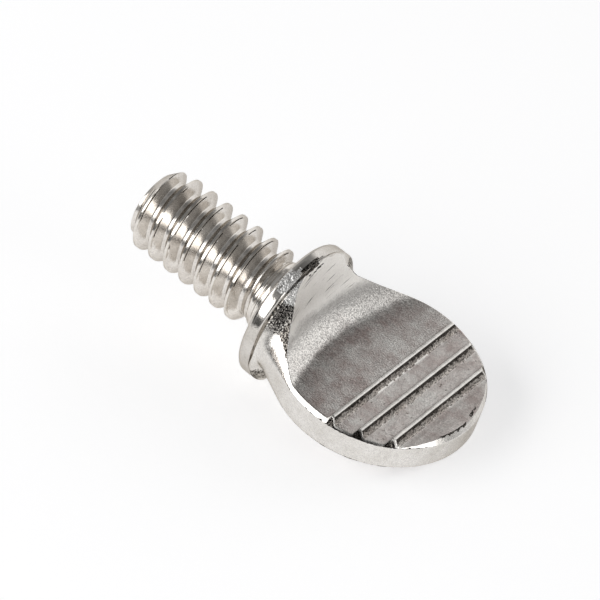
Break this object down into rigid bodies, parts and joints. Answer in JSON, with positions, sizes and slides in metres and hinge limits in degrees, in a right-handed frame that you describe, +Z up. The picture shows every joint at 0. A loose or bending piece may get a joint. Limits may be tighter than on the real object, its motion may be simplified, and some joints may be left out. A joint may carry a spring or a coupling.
{
  "type": "thumb screw",
  "caption": "Thumb screw with a short threaded shank, a plain neck, a round collar and a flat round paddle head with grip ribs across both faces.",
  "frame": {"origin": "on the surface the screw lies on, below the middle of its length", "axes": "+X along the screw as seen from above, from the thread towards the paddle's end; +Y across the paddle; +Z up from the surface. The screw's own axis is tilted about Y, with the thread's end in the air."},
  "size_m": [0.0212, 0.0114, 0.0088],
  "materials": {
    "nickel_plate": "bright nickel plate on forged steel"
  },
  "bodies": {
    "root": {"thumb_screw": "nickel_plate"}
  },
  "joints": []
}
